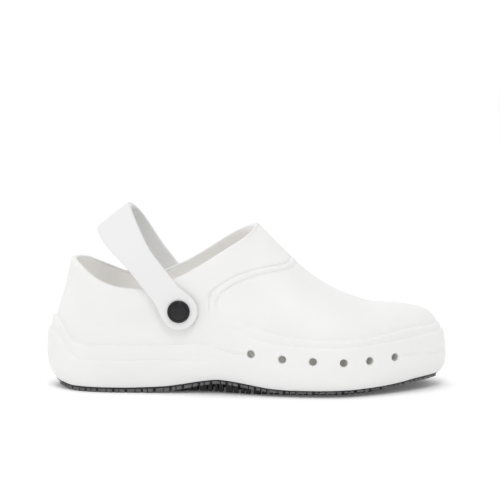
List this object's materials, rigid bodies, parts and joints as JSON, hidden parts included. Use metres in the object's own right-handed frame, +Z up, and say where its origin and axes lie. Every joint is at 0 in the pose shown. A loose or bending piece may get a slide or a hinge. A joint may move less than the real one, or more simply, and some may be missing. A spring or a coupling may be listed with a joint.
{
  "type": "chef clog",
  "caption": "Moulded closed-toe work clog with side vents, a swivel heel strap on round rivets and a thin rubber outsole.",
  "frame": {"origin": "centre of the bounding box, on the floor under the sole", "axes": "+X from heel to toe, +Y to the inner side of the right foot, +Z up"},
  "size_m": [0.29, 0.1069, 0.1335],
  "materials": {
    "foam_white": "satin moulded foam, very finely pebbled",
    "rubber_black": "matt black rubber",
    "liner_grey": "matt woven cover on foam",
    "rivet_black": "polished black plastic"
  },
  "bodies": {
    "root": {"upper": "foam_white", "outsole": "rubber_black", "insole": "liner_grey", "heel_strap": "foam_white", "rivet_outer": "rivet_black", "rivet_inner": "rivet_black"}
  },
  "joints": []
}
